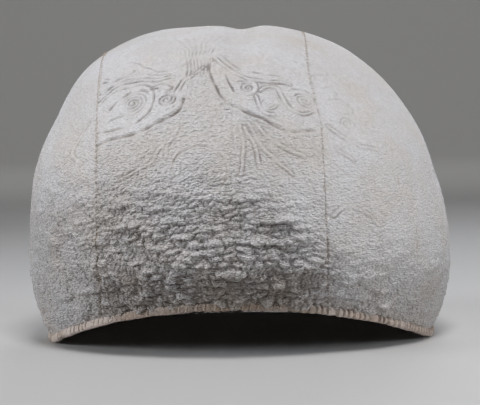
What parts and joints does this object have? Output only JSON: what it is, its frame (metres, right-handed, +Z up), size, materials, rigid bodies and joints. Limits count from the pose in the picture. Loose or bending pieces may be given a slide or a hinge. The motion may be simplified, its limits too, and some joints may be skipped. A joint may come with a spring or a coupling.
{
  "type": "quilted linen cap",
  "caption": "Close-fitting domed cap of quilted linen: a band over the crown between two side panels, with a rolled hem that arches at the front.",
  "frame": {"origin": "centre of the bounding box's underside, on the surface that the hem rests on", "axes": "+Z up, -Y towards the face of the cap with the arched hem, +X to the right as that face is looked at"},
  "size_m": [0.188, 0.208, 0.1385],
  "materials": {
    "quilted_linen": "off-white linen, closely quilted and corded, aged and washed",
    "hem_linen": "warm off-white linen edge, rolled and whip stitched"
  },
  "bodies": {
    "root": {"crown_band": "quilted_linen", "left_panel": "quilted_linen", "right_panel": "quilted_linen", "rolled_hem": "hem_linen"}
  },
  "joints": []
}
